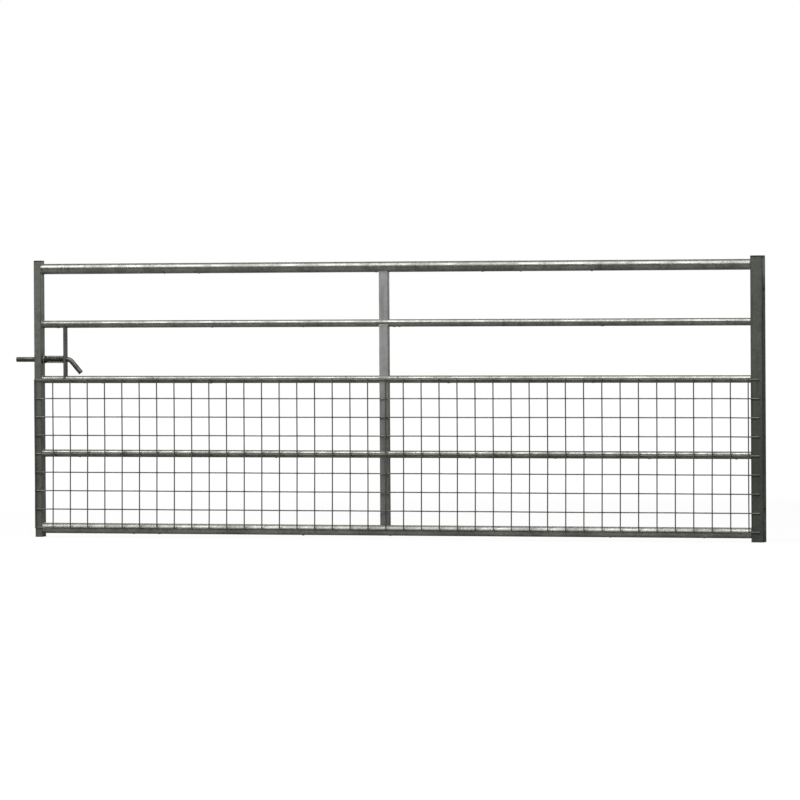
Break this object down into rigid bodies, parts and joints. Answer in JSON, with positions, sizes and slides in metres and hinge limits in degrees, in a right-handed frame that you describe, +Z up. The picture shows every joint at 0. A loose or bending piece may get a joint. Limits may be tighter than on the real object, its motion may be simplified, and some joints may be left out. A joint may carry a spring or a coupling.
{
  "type": "garden gate",
  "caption": "Long half-mesh steel gate: round rails between two box-section stiles, square welded mesh over the lower half, sprung slam bolt with a bent handle.",
  "frame": {"origin": "centre of the lower hinge bore, on the hanging stile's centre line", "axes": "+X along the gate from the slam end to the hanging end, -Y is the meshed front face, +Z up"},
  "size_m": [3.146, 0.0595, 1.126],
  "materials": {
    "box_section": "hot-dip galvanised, dull mid grey with faint spangle",
    "rail_tube": "hot-dip galvanised, brighter and smoother",
    "upright_section": "hot-dip galvanised, light grey",
    "mesh_wire": "galvanised wire, dull",
    "bolt_steel": "rubbed brown-grey galvanised rod",
    "washer_steel": "galvanised, dull",
    "spring_steel": "dark oiled spring steel",
    "cap_plastic": "black moulded plastic"
  },
  "bodies": {
    "gate_frame": {"hanging_stile": "box_section", "slam_stile": "box_section", "hanging_stile_cap": "cap_plastic", "slam_stile_cap": "cap_plastic", "top_rail": "rail_tube", "second_rail": "rail_tube", "third_rail": "rail_tube", "fourth_rail": "rail_tube", "bottom_rail": "rail_tube", "centre_upright_1": "upright_section", "centre_upright_2": "upright_section", "centre_upright_3": "upright_section", "centre_upright_4": "upright_section", "mesh_line_wire_1": "mesh_wire", "mesh_line_wire_2": "mesh_wire", "mesh_line_wire_3": "mesh_wire", "mesh_line_wire_4": "mesh_wire", "mesh_line_wire_5": "mesh_wire", "mesh_line_wire_6": "mesh_wire", "mesh_line_wire_7": "mesh_wire", "mesh_line_wire_8": "mesh_wire", "mesh_line_wire_9": "mesh_wire", "mesh_cross_wires": "mesh_wire", "latch_guide": "box_section", "latch_spring": "spring_steel"},
    "washer": {"spring_washer": "washer_steel"},
    "bolt": {"latch_bolt": "bolt_steel", "bolt_pin": "bolt_steel"}
  },
  "joints": [
    {"name": "latch_slide", "type": "slide", "parent": "gate_frame", "child": "washer", "axis": [1, 0, 0], "range_m": [0, 0.042], "stiffness_N_per_m": 2600, "springref_m": -0.015, "deforming": ["latch_spring"]},
    {"name": "bolt_turn", "type": "hinge", "parent": "washer", "child": "bolt", "pos_m": [-2.9, 0, 0.596], "axis": [1, 0, 0], "continuous": true}
  ]
}
